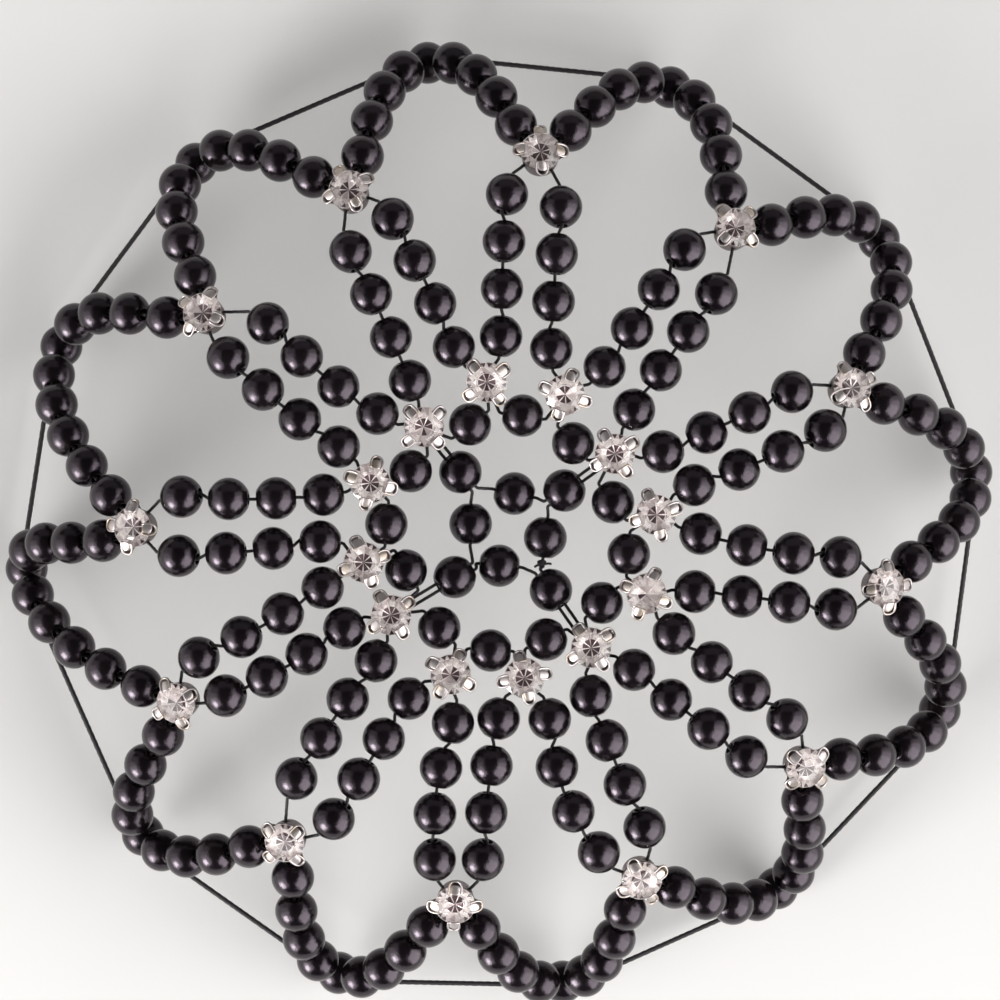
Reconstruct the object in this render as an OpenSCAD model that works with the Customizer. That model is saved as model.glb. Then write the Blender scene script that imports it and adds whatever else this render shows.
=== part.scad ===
// Beaded bun net: twelve petals of round beads strung between two rings of claw-set crystals,
// drawn together round the bun by an elastic. Millimetres, +Z up along the net's axis.

/* [Beads] */
// Bead diameter
bead_d = 4; // [3.9:0.02:4.02]
// Bore of a bead that carries one thread
bore_d = 1; // [0.8:0.05:1.1]
// Bore of a bead that carries two
wide_bore_d = 1.36; // [1.32:0.02:1.4]
// Pitch of the beads along a strand, seen from above
strand_pitch = 4.3; // [4.28:0.02:4.36]
// Least pitch of the beads along a loop
loop_pitch = 4.18; // [4.16:0.02:4.24]

/* [Threads] */
// Diameter of the stringing thread
thread_d = 0.32; // [0.3:0.02:0.4]
// Diameter of the elastic that runs through the loops' tips
elastic_d = 0.5; // [0.4:0.02:0.5]

/* [Crystals] */
// Crystal diameter across the girdle
crystal_d = 3.7; // [3.6:0.02:3.72]
// Width of the table, as a share of the diameter
table_share = 0.56; // [0.5:0.02:0.6]
// Height of the crown above the girdle
crown_rise = 0.5; // [0.4:0.05:0.55]
// Thickness of the girdle
girdle = 0.15; // [0.1:0.05:0.15]
// Depth of the pavilion below the girdle
pavilion_depth = 0.65; // [0.5:0.05:0.65]

/* [Settings] */
// Outer diameter of the cup
cup_d = 3.6; // [3.5:0.02:3.6]
// Thickness of the cup's metal
metal = 0.2; // [0.18:0.01:0.22]
// Width of a claw
claw_w = 0.9; // [0.7:0.05:1]
// Outward lean of the outer settings
outer_tilt = 26; // [22:1:28]
// Inward lean of the inner settings
inner_tilt = 8; // [4:1:10]

/* [Dome] */
// Height of the highest bead centres above the elastic
crown_h = 17.5; // [17:0.5:18]
// Distance of those beads from the axis
crown_r = 22.5; // [22:0.5:23]
// Radius of the rolled bun's bulge outside them, taken to the bead centres
bulge_r = 21; // [20:0.5:22]
// Radius of the shallower curve that the net takes inside them
hollow_r = 60; // [55:1:70]
// Fall of the net towards its centre, inside the inner crystals
centre_slope = 0.22; // [0.15:0.01:0.25]

/* [Hidden] */

// Every angle is in degrees clockwise from the top, seen from above, and every row below goes round
// anticlockwise from the top.
// Outer crystals: angle, distance from the axis, turn of the claws
outer_rows = [
    [5, 34.1, 0], [-25, 33.7, 67], [-54.5, 33.6, 29], [-89.5, 33.6, 10],
    [-117.5, 33.5, 63], [-144.5, 34.4, 45], [-172, 33.9, 0], [159, 33.6, 62],
    [128.5, 34.2, 45], [98.5, 34.3, -5], [67.5, 33.4, 60], [37, 34, 45]
];
// Inner crystals: angle, distance from the axis, turn of the claws
inner_rows = [
    [-8, 13.7, 50], [-39, 12.2, 50], [-71, 13.3, 15], [-102.5, 13.5, 72],
    [-126, 13.2, 56], [-158.5, 14.2, 27], [173.5, 13.6, 78], [144.5, 13.2, 58],
    [114.5, 14, 22], [84, 13.7, 72], [54.5, 12.1, 58], [23, 13.5, 20]
];
// Ring beads, each just anticlockwise of its inner crystal: angle, distance from the axis
ring_rows = [
    [-19.5, 10.2], [-58.5, 10.3], [-87, 11], [-111.5, 9.9], [-145, 10.8], [-172, 11],
    [160.5, 10.5], [127.5, 10.8], [101, 11.2], [75, 9.9], [37, 9.9], [7.5, 10.5]
];
// Petals. Each has two strands, one from the outer crystal of its own number and one from the next.
// own_out, own_in: how far the first strand leaves the straight way between the axis and a crystal,
// at its outer end and at its inner end; own_bow: its sideways bow; next_out, next_in, next_bow: the
// same for the second strand; tip_r: distance of the loop's tip from the axis; lean: how far the tip
// is swung clockwise; next_leg: beads between the tip and the next crystal.
petal_rows = [
    [36, 26, -0.1, -34, -36, 0.2, 43.5, 0.3, 4],
    [25, 23, 0.1, -28, -36, -0.4, 44.1, -0.6, 4],
    [27, 31, -0.3, -35, -34, -0.3, 44.3, 4.4, 5],
    [34, 39, -0.2, -39, -20, -0.3, 44.3, 8.9, 5],
    [21, 21, -0.4, -27, -37, 0.2, 43.6, 1.1, 4],
    [31, 40, 0, -35, -25, 0.6, 43.5, -0.9, 4],
    [26, 40, 0.2, -39, -26, 1, 41.8, -0.5, 4],
    [26, 37, 0.2, -30, -28, 0.1, 41.2, -0.7, 4],
    [33, 32, 0, -35, -28, -0.1, 43, -0.9, 4],
    [27, 30, 0.4, -39, -33, 0.3, 42.9, -0.1, 4],
    [20, 34, 0.1, -22, -32, -0.1, 43.3, -0.3, 4],
    [32, 33, 0.1, -27, -41, -0.1, 43.3, -0.8, 4]
];
// Centre ring and the spoke beads at its corners: angle, distance from the axis
centre_rows = [[10.5, 3.4], [-80, 3.4], [-167, 3.3], [101, 3.5]];
spoke_rows = [[-39, 6.8], [-131.5, 6.4], [144, 6.7], [55, 6.3]];
// The inner crystal that each spoke is fastened to
spoke_crystals = [1, 4, 7, 10];

petals = len(petal_rows);
// The ring beads ride this much above the threads that tie the centre
ring_lift = 0.3;
strand_beads = 4;
own_leg = 4;

// Gaps from a crystal's axis to the centre of the next bead, seen from above
strand_gap = 4.25;
least_gap = 4.15;
loop_gap = 4.3;
// Share of a loop's angle that is spread evenly along it, the rest being taken close to the crystals
loop_sweep = 0.82;
// Pitch at the tip, where the thread turns back on itself
tip_pitch = 4.6;

bead_r = bead_d / 2;
thread_r = thread_d / 2;
elastic_r = elastic_d / 2;
thread_sides = 6;
elastic_sides = 8;
round_fn = 48;

// A thread bends this far inside a bore's mouth, or where it turns sharply this far outside
bend_inset = 0.2;
bend_stub = 0.25;
slight_bend = 38;
// Sideways places of two threads in one bore or one cup
wide_bore_offset = 0.31;
tip_thread_offset = 0.36;
tip_elastic_offset = 0.3;
cup_pass = 0.45;
cup_turn = 0.35;
spoke_pass = 0.3;
spoke_drop = 0.62;

// Heights in a setting, from the plane of its threads
girdle_z = 1;
cup_top = 0.8;
cup_floor = -1.15;
thread_hole_d = 0.66;

// Petals are counted from 0 here, so that they follow the rows above
function round_trip(k) = (k + petals) % petals;
function heading(a) = [sin(a), cos(a)];
function clock(v) = atan2(v.x, v.y);
function unit(v) = v / norm(v);
function half_turn(a) = a > 180 ? a - 360 : a < -180 ? a + 360 : a;
function flat(v) = [v.x, v.y];

// Height of the bead centres over the bun
function bulge_h(r) =
    let (curve_r = r < crown_r ? hollow_r : bulge_r)
    crown_h - curve_r + sqrt(curve_r ^ 2 - (r - crown_r) ^ 2);
centre_edge = 13.5;
function dome_h(r) = r < centre_edge ? bulge_h(centre_edge) - centre_slope * (centre_edge - r) : bulge_h(r);
function on_dome(v) = [v.x, v.y, dome_h(norm(v))];
function row_point(row) = on_dome(row[1] * heading(row[0]));
// Direction away from the middle of the rolled bun, for laying out a thread's section
function away(p) =
    let (core = crown_r * unit(flat(p)))
    unit([p.x - core.x, p.y - core.y, max(p.z - crown_h + bulge_r, 0.1)]);

outer_at = [for (row = outer_rows) row_point(row)];
inner_at = [for (row = inner_rows) row_point(row)];
ring_at = [for (row = ring_rows) row_point(row) + [0, 0, ring_lift]];
centre_at = [for (row = centre_rows) row_point(row)];
spoke_at = [for (row = spoke_rows) row_point(row)];

// A point given in a setting's own axes: clockwise, outwards and up
function tilted(v, tilt) = [v.x, v.y * cos(tilt) + v.z * sin(tilt), v.z * cos(tilt) - v.y * sin(tilt)];
function turned(v, a) = [v.x * cos(a) + v.y * sin(a), v.y * cos(a) - v.x * sin(a), v.z];
function seat_point(at, tilt, v) = at + turned(tilted(v, tilt), clock(at));
function outer_point(k, v) = seat_point(outer_at[k], outer_tilt, v);
function inner_point(k, v) = seat_point(inner_at[k], -inner_tilt, v);

// Strand: its beads from the outer crystal to the inner one
function strand(from, to, out_splay, in_splay, bow) =
    let (
        start = flat(from),
        last = flat(to) + strand_gap * heading(clock(to) + in_splay),
        aim = heading(clock(-from) + out_splay),
        back = start - last,
        along = back * aim,
        span = (strand_beads - 1) * strand_pitch,
        reach = max(least_gap, -along - sqrt(along ^ 2 - back * back + span ^ 2)),
        first = start + reach * aim,
        run = last - first,
        across = unit([-run.y, run.x])
    )
    [for (i = [0:strand_beads - 1])
        let (t = i / (strand_beads - 1))
        on_dome(first + t * run + 4 * t * (1 - t) * bow * across)];
function own_strand(k) =
    let (row = petal_rows[k])
    strand(outer_at[k], inner_at[k], row[0], row[1], row[2]);
function next_strand(k) =
    let (row = petal_rows[k])
    strand(outer_at[round_trip(k + 1)], inner_at[k], row[3], row[4], row[5]);

// Loop: u runs from -1 at the next crystal, over 0 at the tip, to 1 at the petal's own crystal
function loop_point(k, u, tip_z) =
    let (
        row = petal_rows[k],
        next = round_trip(k + 1),
        half = half_turn(outer_rows[k][0] - outer_rows[next][0]) / 2,
        from = outer_at[u < 0 ? next : k],
        w = abs(u),
        sweep = loop_sweep * u + (1 - loop_sweep) * sign(u) * w ^ 9,
        a = outer_rows[next][0] + half * (1 + sweep) + row[7] * (1 - u * u) ^ 1.3,
        r = row[6] - (row[6] - norm(flat(from))) * w ^ 2.2,
        z = from.z - (from.z - tip_z) * (1 - w)
    )
    [r * sin(a), r * cos(a), z];
leg_steps = 30;
function leg_points(k, side, tip_z) =
    [for (i = [0:leg_steps]) loop_point(k, side * (1 - i / leg_steps), tip_z)];
function step_to(points, i) = i < len(points) ? norm(points[i] - points[i - 1]) : 0;
function lengths(points) = [for (i = 0, s = 0; i < len(points); i = i + 1, s = s + step_to(points, i)) s];
function leg_beads(k, side) = side < 0 ? petal_rows[k][8] : own_leg;
function leg_pitch(k, side, tip_z) =
    let (run = lengths(leg_points(k, side, tip_z)))
    (run[leg_steps] - loop_gap - tip_pitch) / (leg_beads(k, side) - 1);
// The tip hangs as low as the string's length lets it
function hang(k, low, high, tries) =
    let (mid = (low + high) / 2)
    tries == 0 ? mid
    : min(leg_pitch(k, -1, mid), leg_pitch(k, 1, mid)) < loop_pitch ? hang(k, low, mid, tries - 1)
    : hang(k, mid, high, tries - 1);
tip_heights = [for (k = [0:petals - 1]) hang(k, -12, 8, 14)];
function leg(k, side) =
    let (
        z = tip_heights[k],
        run = lengths(leg_points(k, side, z)),
        table = [for (i = [0:leg_steps]) [run[i], side * (1 - i / leg_steps)]]
    )
    [for (i = [0:leg_beads(k, side) - 1])
        loop_point(k, lookup(loop_gap + i * leg_pitch(k, side, z), table), z)];
function backwards(list) = [for (i = [len(list) - 1:-1:0]) list[i]];
function tip(k) = loop_point(k, 0, tip_heights[k]);

strands_own = [for (k = [0:petals - 1]) own_strand(k)];
strands_next = [for (k = [0:petals - 1]) next_strand(k)];
legs_own = [for (k = [0:petals - 1]) leg(k, 1)];
legs_next = [for (k = [0:petals - 1]) leg(k, -1)];
tips = [for (k = [0:petals - 1]) tip(k)];

// Where a petal's thread passes through a cup: at its side in the outer ones, doubling back in its own
function own_pass(k) = outer_point(k, [-cup_pass, 0, 0]);
function next_pass(k) = outer_point(round_trip(k + 1), [cup_pass, 0, 0]);
function turn_point(k, side) = inner_point(k, [side * cup_pass, cup_turn, 0]);

// A bead as its centre, the way its bore runs and the bore's diameter. A bead lines up half with each
// neighbour, but more with the bead beside it than with a crystal, and mostly with a loop's tip.
function bead(before, at, after, bore, share = 0.5) =
    [at, unit((1 - share) * unit(at - before) + share * unit(after - at)), bore];
crystal_share = 0.4;
tip_share = 0.75;
function beads_between(before, list, after, first_share, last_share) =
    let (last = len(list) - 1)
    [for (i = [0:last])
        bead(
            i == 0 ? before : list[i - 1], list[i], i == last ? after : list[i + 1], bore_d,
            i == 0 ? 1 - first_share : i == last ? last_share : 0.5
        )];
function own_strand_beads(k) =
    beads_between(turn_point(k, 1), backwards(strands_own[k]), own_pass(k), crystal_share, crystal_share);
function own_leg_beads(k) = beads_between(own_pass(k), legs_own[k], tips[k], crystal_share, tip_share);
function tip_bead(k) =
    bead(legs_own[k][own_leg - 1], tips[k], legs_next[k][petal_rows[k][8] - 1], wide_bore_d);
function next_leg_beads(k) =
    beads_between(tips[k], backwards(legs_next[k]), next_pass(k), tip_share, crystal_share);
function next_strand_beads(k) =
    beads_between(next_pass(k), strands_next[k], turn_point(k, -1), crystal_share, crystal_share);
function petal_beads(k) =
    concat(own_strand_beads(k), own_leg_beads(k), [tip_bead(k)], next_leg_beads(k), next_strand_beads(k));

// Straight run of a thread through a bead, moved aside where two share the bore. It has no target where
// another bead follows close by.
function end_at(b, side, target, aside) =
    let (
        way = side * b[1],
        slight = is_undef(target) ? true : unit(target - b[0] - bead_r * way - aside) * way > cos(slight_bend)
    )
    b[0] + (bead_r + (slight ? -bend_inset : bend_stub)) * way + aside;
function through(b, before, after, aside = [0, 0, 0]) =
    [end_at(b, -1, before, aside), end_at(b, 1, after, aside)];
function string_through(before, list, after) = [
    for (i = [0:len(list) - 1])
        for (p = through(list[i], i == 0 ? before : undef, i == len(list) - 1 ? after : undef)) p
];

// Way up in a tip bead: towards the loop's inside, square to its bore
function tip_up(k) =
    let (
        b = tip_bead(k),
        v = (legs_own[k][own_leg - 1] + legs_next[k][petal_rows[k][8] - 1]) / 2 - b[0]
    )
    unit(v - (v * b[1]) * b[1]);
// Round the side of a tip bead, from the bead above it to the mouth of its bore
turn_clear = 0.42;
function tip_side(k, above, side) =
    let (
        b = tip_bead(k),
        mouth = b[0] + side * (bead_r + turn_clear) * b[1] + tip_thread_offset * tip_up(k),
        top = b[0] + tip_pitch / 2 * unit(above - b[0]),
        between = b[0] + (bead_r + turn_clear) * unit(unit(top - b[0]) + unit(mouth - b[0]))
    )
    [top, between, mouth];
function petal_route(k) = concat(
    [turn_point(k, -1), turn_point(k, 1)],
    string_through(turn_point(k, 1), own_strand_beads(k), own_pass(k)),
    [own_pass(k)],
    string_through(own_pass(k), own_leg_beads(k), undef),
    tip_side(k, legs_own[k][own_leg - 1], -1),
    backwards(tip_side(k, legs_next[k][petal_rows[k][8] - 1], 1)),
    string_through(undef, next_leg_beads(k), next_pass(k)),
    [next_pass(k)],
    string_through(next_pass(k), next_strand_beads(k), turn_point(k, -1))
);
elastic_route = [
    for (k = [0:petals - 1])
        let (b = tip_bead(k), aside = -tip_elastic_offset * tip_up(k))
        for (side = [-1, 1]) b[0] + side * bead_r * b[1] + aside
];

// Ring thread: out to each inner crystal and back in to the bead between two
function ring_pass(k, side) = inner_point(k, [side * cup_pass, -cup_turn, 0]);
function ring_bead(k) = bead(ring_pass(k, -1), ring_at[k], ring_pass(round_trip(k + 1), 1), bore_d);
ring_beads = [for (k = [0:petals - 1]) ring_bead(k)];
function ring_through(k) = through(ring_beads[k], ring_pass(k, -1), ring_pass(round_trip(k + 1), 1));
ring_route = [
    for (k = [0:petals - 1])
        for (p = concat([ring_pass(k, 1), ring_pass(k, -1)], ring_through(k))) p
];

// Centre thread: round the four beads, with a spoke out to an inner crystal at each corner
corners = len(centre_rows);
function corner_before(i) = (i + corners - 1) % corners;
function spoke_turn(i, side) = inner_point(spoke_crystals[i], [side * spoke_pass, 0.1, -spoke_drop]);
function spoke_bead(i) =
    [spoke_at[i], unit(inner_at[spoke_crystals[i]] - spoke_at[i] - [0, 0, spoke_drop]), wide_bore_d];
function spoke_aside(i, side) =
    let (b = spoke_bead(i))
    side * wide_bore_offset * unit([b[1].y, -b[1].x, 0]);
spoke_beads = [for (i = [0:corners - 1]) spoke_bead(i)];
spoke_mouths = [for (b = spoke_beads) b[0] - bead_r * b[1]];
centre_beads = [
    for (i = [0:corners - 1]) bead(spoke_mouths[corner_before(i)], centre_at[i], spoke_mouths[i], bore_d)
];
function spoke_through(i, side, from) =
    through(spoke_beads[i], from, spoke_turn(i, side), spoke_aside(i, side));
centre_route = [
    for (i = [0:corners - 1])
        let (next = (i + 1) % corners)
        for (p = concat(
            through(centre_beads[i], spoke_mouths[corner_before(i)], spoke_mouths[i]),
            spoke_through(i, 1, centre_at[i]),
            [spoke_turn(i, 1), spoke_turn(i, -1)],
            backwards(spoke_through(i, -1, centre_at[next]))
        )) p
];

module bead_solid(b) {
    a = clock(b[1]);
    translate(b[0]) rotate([0, 0, -a]) rotate([-acos(b[1].z), 0, 0]) difference() {
        sphere(d = bead_d, $fn = round_fn);
        cylinder(d = b[2], h = 2 * bead_d, center = true, $fn = round_fn);
    }
}
module string_of(list) {
    color("#1d171c") for (b = list) bead_solid(b);
}

// Closed thread: one ring of points at each bend, mitred so that the thread keeps its thickness
module closed_thread(route, radius, sides, tint) {
    count = len(route);
    points = [
        for (i = [0:count - 1])
            let (
                p = route[i],
                into = unit(p - route[(i + count - 1) % count]),
                out_of = unit(route[(i + 1) % count] - p),
                t = unit(into + out_of),
                bend = out_of - into,
                fold = norm(bend) < 0.001 ? [0, 0, 0] : unit(bend),
                widen = 1 / max(norm(into + out_of) / 2, 0.7) - 1,
                normal = away(p),
                u = unit(normal - (normal * t) * t),
                v = cross(t, u)
            )
            for (j = [0:sides - 1])
                let (q = radius * (cos(360 * j / sides) * u + sin(360 * j / sides) * v))
                p + q + widen * (q * fold) * fold
    ];
    faces = [
        for (i = [0:count - 1])
            for (j = [0:sides - 1])
                let (
                    a = i * sides + j,
                    b = i * sides + (j + 1) % sides,
                    c = ((i + 1) % count) * sides + (j + 1) % sides,
                    d = ((i + 1) % count) * sides + j
                )
                for (f = [[a, b, c], [a, c, d]]) f
    ];
    color(tint) polyhedron(points, [for (f = faces) [f[2], f[1], f[0]]]);
}

// Crystal: an eight-sided table with star, kite and girdle facets above and a sixteen-sided point below
module crystal() {
    r = crystal_d / 2;
    table_r = table_share * r;
    waist_r = (r + table_r) / 2;
    top = girdle_z + girdle + crown_rise;
    waist_z = girdle_z + girdle + 0.58 * crown_rise;
    table = [for (i = [0:7]) [table_r * cos(45 * i), table_r * sin(45 * i), top]];
    waist = [for (i = [0:7]) [waist_r * cos(45 * i + 22.5), waist_r * sin(45 * i + 22.5), waist_z]];
    upper = [for (i = [0:15]) [r * cos(22.5 * i), r * sin(22.5 * i), girdle_z + girdle]];
    lower = [for (p = upper) [p.x, p.y, girdle_z]];
    point = [0, 0, girdle_z - pavilion_depth];
    points = concat(table, waist, upper, lower, [point]);
    w = 8;
    g = 16;
    h = 32;
    culet = 48;
    faces = concat(
        [[for (i = [0:7]) i]],
        [for (i = [0:7]) [i, w + i, (i + 1) % 8]],
        [for (i = [0:7]) [i, w + (i + 7) % 8, g + 2 * i]],
        [for (i = [0:7]) [i, g + 2 * i, w + i]],
        [for (i = [0:7]) [w + i, g + 2 * i, g + 2 * i + 1]],
        [for (i = [0:7]) [w + i, g + 2 * i + 1, g + (2 * i + 2) % 16]],
        [for (i = [0:15]) [g + i, h + i, h + (i + 1) % 16]],
        [for (i = [0:15]) [g + i, h + (i + 1) % 16, g + (i + 1) % 16]],
        [for (i = [0:15]) [h + i, culet, h + (i + 1) % 16]]
    );
    color("#e9e2e0") polyhedron(points, [for (f = faces) [for (i = [len(f) - 1:-1:0]) f[i]]]);
}

// Section of a claw: up and out from the cup's wall, then folded over the crystal's edge
module claw() {
    cup_r = cup_d / 2;
    clear = 0.12;
    out_r = cup_r + 0.6;
    fold_z = girdle_z + girdle;
    section = [
        [cup_r - metal, 0.42], [cup_r, 0.42], [out_r, fold_z - 0.05], [out_r, fold_z + 0.2],
        [1.45, fold_z + crown_rise + 0.14], [1.36, fold_z + crown_rise - 0.04],
        [crystal_d / 2 + clear, fold_z + clear], [crystal_d / 2 + clear, girdle_z - 0.02],
        [cup_r, cup_top], [cup_r - metal, cup_top]
    ];
    rotate([90, 0, 0]) linear_extrude(claw_w, center = true) polygon(section);
}
// Setting: a round cup with four claws and a hole in its wall for each thread that comes to it
module setting(turn, holes) {
    cup_r = cup_d / 2;
    color("#cfc8c0") difference() {
        union() {
            translate([0, 0, cup_floor]) difference() {
                cylinder(r = cup_r, h = cup_top - cup_floor, $fn = round_fn);
                translate([0, 0, metal]) cylinder(r = cup_r - metal, h = cup_top - cup_floor, $fn = round_fn);
            }
            for (i = [0:3]) rotate([0, 0, 90 * i + turn]) claw();
        }
        for (hole = holes) thread_hole(hole[0], hole[1]);
    }
}
// Hole along a thread, from its place inside the cup out through the wall
module thread_hole(from, to) {
    v = to - from;
    translate(from) rotate([0, 0, -clock(v)]) rotate([-acos(v.z / norm(v)), 0, 0])
        cylinder(d = thread_hole_d, h = cup_d * 0.75, $fn = 24);
}

// A world point in a setting's own axes
function seat_local(at, tilt, p) =
    let (v = turned(p - at, -clock(at)))
    tilted(v, -tilt);
module on_seat(at, tilt) {
    translate(at) rotate([0, 0, -clock(at)]) rotate([-tilt, 0, 0]) children();
}
function first_end(list, before) = end_at(list[0], -1, before, [0, 0, 0]);
function last_end(list, after) = end_at(list[len(list) - 1], 1, after, [0, 0, 0]);
function outer_holes(k) =
    let (
        before = round_trip(k - 1),
        own = own_pass(k),
        next = next_pass(before),
        ways = [
            [own, last_end(own_strand_beads(k), own)], [own, first_end(own_leg_beads(k), own)],
            [next, last_end(next_leg_beads(before), next)], [next, first_end(next_strand_beads(before), next)]
        ]
    )
    [for (w = ways) [for (p = w) seat_local(outer_at[k], outer_tilt, p)]];
function inner_holes(k) =
    let (
        before = round_trip(k - 1),
        spoke = search(k, spoke_crystals),
        ways = concat(
            [
                [turn_point(k, 1), first_end(own_strand_beads(k), turn_point(k, 1))],
                [turn_point(k, -1), last_end(next_strand_beads(k), turn_point(k, -1))],
                [ring_pass(k, -1), ring_through(k)[0]],
                [ring_pass(k, 1), ring_through(before)[1]]
            ],
            [for (i = spoke) for (side = [-1, 1]) [spoke_turn(i, side), spoke_through(i, side, [0, 0, 0])[1]]]
        )
    )
    [for (w = ways) [for (p = w) seat_local(inner_at[k], -inner_tilt, p)]];

// Claws turn clockwise from the top, and a setting's own first claw points clockwise along the net
function claw_turn(row) = row[0] - row[2];

module petal_string(k) string_of(petal_beads(k));
module petal_thread(k) closed_thread(petal_route(k), thread_r, thread_sides, "#120e11");
module ring_string() string_of(ring_beads);
module ring_thread() closed_thread(ring_route, thread_r, thread_sides, "#120e11");
module centre_string() string_of(concat(centre_beads, spoke_beads));
module centre_thread() closed_thread(centre_route, thread_r, thread_sides, "#120e11");
module elastic() closed_thread(elastic_route, elastic_r, elastic_sides, "#0d0b0d");
module inner_setting(k) {
    on_seat(inner_at[k], -inner_tilt) setting(claw_turn(inner_rows[k]), inner_holes(k));
}
module outer_setting(k) {
    on_seat(outer_at[k], outer_tilt) setting(claw_turn(outer_rows[k]), outer_holes(k));
}
module inner_crystal(k) {
    on_seat(inner_at[k], -inner_tilt) rotate([0, 0, claw_turn(inner_rows[k])]) crystal();
}
module outer_crystal(k) {
    on_seat(outer_at[k], outer_tilt) rotate([0, 0, claw_turn(outer_rows[k])]) crystal();
}

for (k = [1:12]) {
    petal_string(k - 1);
    petal_thread(k - 1);
    inner_crystal(k - 1);
    outer_crystal(k - 1);
}
ring_string();  // ring_beads
ring_thread();
centre_string();  // centre_beads
centre_thread();
elastic();
for (k = [0:petals - 1]) inner_setting(k);  // inner_settings
for (k = [0:petals - 1]) outer_setting(k);  // outer_settings
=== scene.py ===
import math
import random

import bmesh
import bpy
import numpy as np
from mathutils import Matrix, Vector, geometry


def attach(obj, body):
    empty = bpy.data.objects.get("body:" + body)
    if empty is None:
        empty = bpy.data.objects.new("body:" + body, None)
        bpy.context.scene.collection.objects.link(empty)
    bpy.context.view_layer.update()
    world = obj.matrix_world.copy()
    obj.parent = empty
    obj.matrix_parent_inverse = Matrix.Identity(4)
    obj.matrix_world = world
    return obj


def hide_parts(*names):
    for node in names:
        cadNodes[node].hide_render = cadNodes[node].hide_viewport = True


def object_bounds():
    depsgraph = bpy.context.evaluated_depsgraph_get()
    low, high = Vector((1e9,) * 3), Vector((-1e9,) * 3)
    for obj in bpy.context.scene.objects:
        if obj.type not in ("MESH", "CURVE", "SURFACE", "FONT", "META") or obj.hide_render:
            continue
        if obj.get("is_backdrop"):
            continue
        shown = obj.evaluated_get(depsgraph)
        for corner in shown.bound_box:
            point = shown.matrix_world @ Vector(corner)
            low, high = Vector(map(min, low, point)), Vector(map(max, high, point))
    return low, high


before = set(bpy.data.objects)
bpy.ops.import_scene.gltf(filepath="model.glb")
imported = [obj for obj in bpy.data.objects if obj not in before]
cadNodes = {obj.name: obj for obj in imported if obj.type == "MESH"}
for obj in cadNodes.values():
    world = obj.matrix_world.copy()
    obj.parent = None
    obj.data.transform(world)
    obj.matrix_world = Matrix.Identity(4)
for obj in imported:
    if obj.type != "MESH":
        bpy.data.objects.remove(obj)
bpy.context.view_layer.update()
mm = 0.001
weldDistance = 0.001 * mm  # corners nearer than this are one
petals = 12
claws = 4  # on each setting
seed = 12  # of the small differences between beads, stones and claws
print("frame loaded:", len(cadNodes), "nodes")


# the camera looks straight down on the net, through a long lens
cameraSetup = {
    "picturePixels": 1000,
    "pixelsPerMm": 11.0,
    "axisPixel": (507.5, 530.3),  # where the net's axis stands in the picture
    "distance": 1.5,
    "trueHeight": 0.013,  # the height at which the scale is exact
    "sensorMm": 36.0,
    "clipEnd": 10,
}


def addCamera(setup):
    half = setup["picturePixels"] / 2
    perMetre = setup["pixelsPerMm"] / mm
    data = bpy.data.cameras.new("topCamera")
    data.sensor_width = setup["sensorMm"]
    data.lens = setup["sensorMm"] * setup["distance"] * perMetre / setup["picturePixels"]
    data.clip_end = setup["clipEnd"]
    camera = bpy.data.objects.new("topCamera", data)
    bpy.context.scene.collection.objects.link(camera)
    camera.location = (
        (half - setup["axisPixel"][0]) / perMetre,
        (setup["axisPixel"][1] - half) / perMetre,
        setup["trueHeight"] + setup["distance"],
    )
    bpy.context.scene.camera = camera


addCamera(cameraSetup)
bpy.context.scene.view_settings.view_transform = "Standard"


# soft boxes left and right, seen in each bead as two upright reflections. They overlap in layers,
# so that both reflections fade towards the top of the picture. A dim one lights the far side.
lightSetup = {
    "rightWide": {"toward": (0.872, -0.234, 0.43), "distance": 0.75, "size": (1.61, 1.0), "radiance": 1.4},
    "rightMiddle": {"toward": (0.818, -0.382, 0.43), "distance": 0.75, "size": (1.13, 1.0), "radiance": 2.0},
    "rightNear": {"toward": (0.721, -0.543, 0.43), "distance": 0.75, "size": (0.70, 1.0), "radiance": 2.1},
    "leftWide": {"toward": (-0.885, -0.180, 0.43), "distance": 0.75, "size": (1.58, 0.84), "radiance": 0.7},
    "leftMiddle": {"toward": (-0.866, -0.386, 0.32), "distance": 0.75, "size": (1.01, 0.75), "radiance": 1},
    "leftNear": {"toward": (-0.777, -0.544, 0.32), "distance": 0.75, "size": (0.64, 0.75), "radiance": 1.8},
    "leftCore": {"toward": (-0.74, -0.60, 0.27), "distance": 0.70, "size": (0.27, 0.27), "radiance": 21},
    "backBox": {"toward": (0.0, 0.90, 0.43), "distance": 0.9, "size": (1.3, 0.7), "radiance": 0.25},
}
lightColour = (1.0, 0.985, 0.975)
worldSetup = {"colour": (0.98, 0.97, 1.0), "strength": 0.06}


def addSoftBox(name, row):
    width, height = row["size"]
    data = bpy.data.lights.new(name, "AREA")
    data.shape = "RECTANGLE"
    data.size = width
    data.size_y = height
    data.energy = row["radiance"] * math.pi * width * height
    data.color = lightColour
    box = bpy.data.objects.new(name, data)
    bpy.context.scene.collection.objects.link(box)
    way = Vector(row["toward"]).normalized()
    box.location = way * row["distance"]
    box.rotation_euler = way.to_track_quat("Z", "Y").to_euler()
    box.visible_camera = False


def addWorld(setup):
    world = bpy.data.worlds.new("studio")
    bpy.context.scene.world = world
    world.use_nodes = True
    background = world.node_tree.nodes["Background"]
    background.inputs["Color"].default_value = (*setup["colour"], 1)
    background.inputs["Strength"].default_value = setup["strength"]


for name, row in lightSetup.items():
    addSoftBox(name, row)
addWorld(worldSetup)
print("camera and lights ready")


# small helpers for materials
def newMaterial(name, **sockets):
    material = bpy.data.materials.new(name)
    material.use_nodes = True
    shader = material.node_tree.nodes["Principled BSDF"]
    for socket, value in sockets.items():
        shader.inputs[socket.replace("_", " ")].default_value = value
    return material, material.node_tree, shader


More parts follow.
